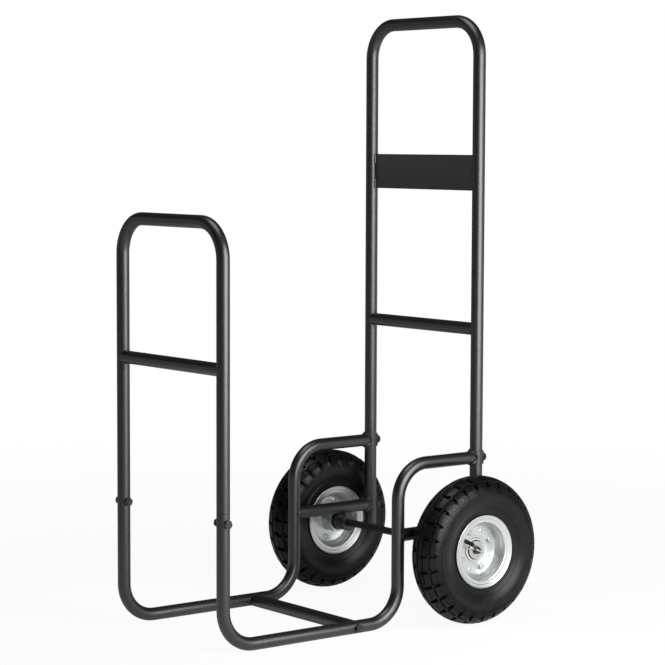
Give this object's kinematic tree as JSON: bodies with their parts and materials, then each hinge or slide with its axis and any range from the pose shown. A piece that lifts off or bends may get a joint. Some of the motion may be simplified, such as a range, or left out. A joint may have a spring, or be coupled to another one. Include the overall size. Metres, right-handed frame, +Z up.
{
  "type": "fireside log cart",
  "caption": "Two-wheeled hand cart of bent black steel tube that holds split logs between a low front hoop and a tall handle hoop, on pneumatic wheels.",
  "frame": {"origin": "middle of the cart's length and width, on the ground under the wheels and rails", "axes": "+Z up; +Y from the front hoop towards the handle; +X to the right-hand wheel, along the axle"},
  "size_m": [0.478, 0.625, 1.045],
  "materials": {
    "powder_coat": "black powder coat, satin",
    "black_steel": "black oxide, lightly oiled",
    "zinc": "bright zinc plate",
    "rim": "bright zinc plate on pressed steel, with a faint cool cast",
    "bearing": "ground steel with dark seals",
    "tyre": "moulded black rubber, dull with a grey bloom",
    "inner_tube": "smooth black butyl rubber"
  },
  "bodies": {
    "frame": {"front_hoop": "powder_coat", "front_crossbar": "powder_coat", "handle_hoop": "powder_coat", "handle_crossbar": "powder_coat", "handle_plate": "powder_coat", "base_crossbar": "powder_coat", "axle": "black_steel", "side_frame_left": "powder_coat", "lower_brace_left": "powder_coat", "upper_saddle_left": "powder_coat", "upper_clamp_left": "powder_coat", "upper_bolt_left": "black_steel", "lower_saddle_left": "powder_coat", "lower_clamp_left": "powder_coat", "lower_bolt_left": "black_steel", "hoop_bolt_left": "black_steel", "hoop_nut_left": "black_steel", "base_bolt_left": "black_steel", "axle_bracket_left": "powder_coat", "axle_spacer_left": "black_steel", "axle_washer_left": "zinc", "cotter_pin_left": "zinc", "side_frame_right": "powder_coat", "lower_brace_right": "powder_coat", "upper_saddle_right": "powder_coat", "upper_clamp_right": "powder_coat", "upper_bolt_right": "black_steel", "lower_saddle_right": "powder_coat", "lower_clamp_right": "powder_coat", "lower_bolt_right": "black_steel", "hoop_bolt_right": "black_steel", "hoop_nut_right": "black_steel", "base_bolt_right": "black_steel", "axle_bracket_right": "powder_coat", "axle_spacer_right": "black_steel", "axle_washer_right": "zinc", "cotter_pin_right": "zinc"},
    "wheel_left": {"tyre_left": "tyre", "inner_tube_left": "inner_tube", "rim_outer_left": "rim", "rim_inner_left": "rim", "hub_left": "zinc", "bearing_inner_left": "bearing", "bearing_outer_left": "bearing", "rim_bolt_1_left": "zinc", "rim_bolt_2_left": "zinc", "rim_bolt_3_left": "zinc", "rim_bolt_4_left": "zinc"},
    "wheel_right": {"tyre_right": "tyre", "inner_tube_right": "inner_tube", "rim_outer_right": "rim", "rim_inner_right": "rim", "hub_right": "zinc", "bearing_inner_right": "bearing", "bearing_outer_right": "bearing", "rim_bolt_1_right": "zinc", "rim_bolt_2_right": "zinc", "rim_bolt_3_right": "zinc", "rim_bolt_4_right": "zinc"}
  },
  "joints": [
    {"name": "wheel_left_spin", "type": "hinge", "parent": "frame", "child": "wheel_left", "pos_m": [-0.2045, 0.1845, 0.128], "axis": [1, 0, 0], "continuous": true},
    {"name": "wheel_right_spin", "type": "hinge", "parent": "frame", "child": "wheel_right", "pos_m": [0.2045, 0.1845, 0.128], "axis": [1, 0, 0], "continuous": true}
  ]
}
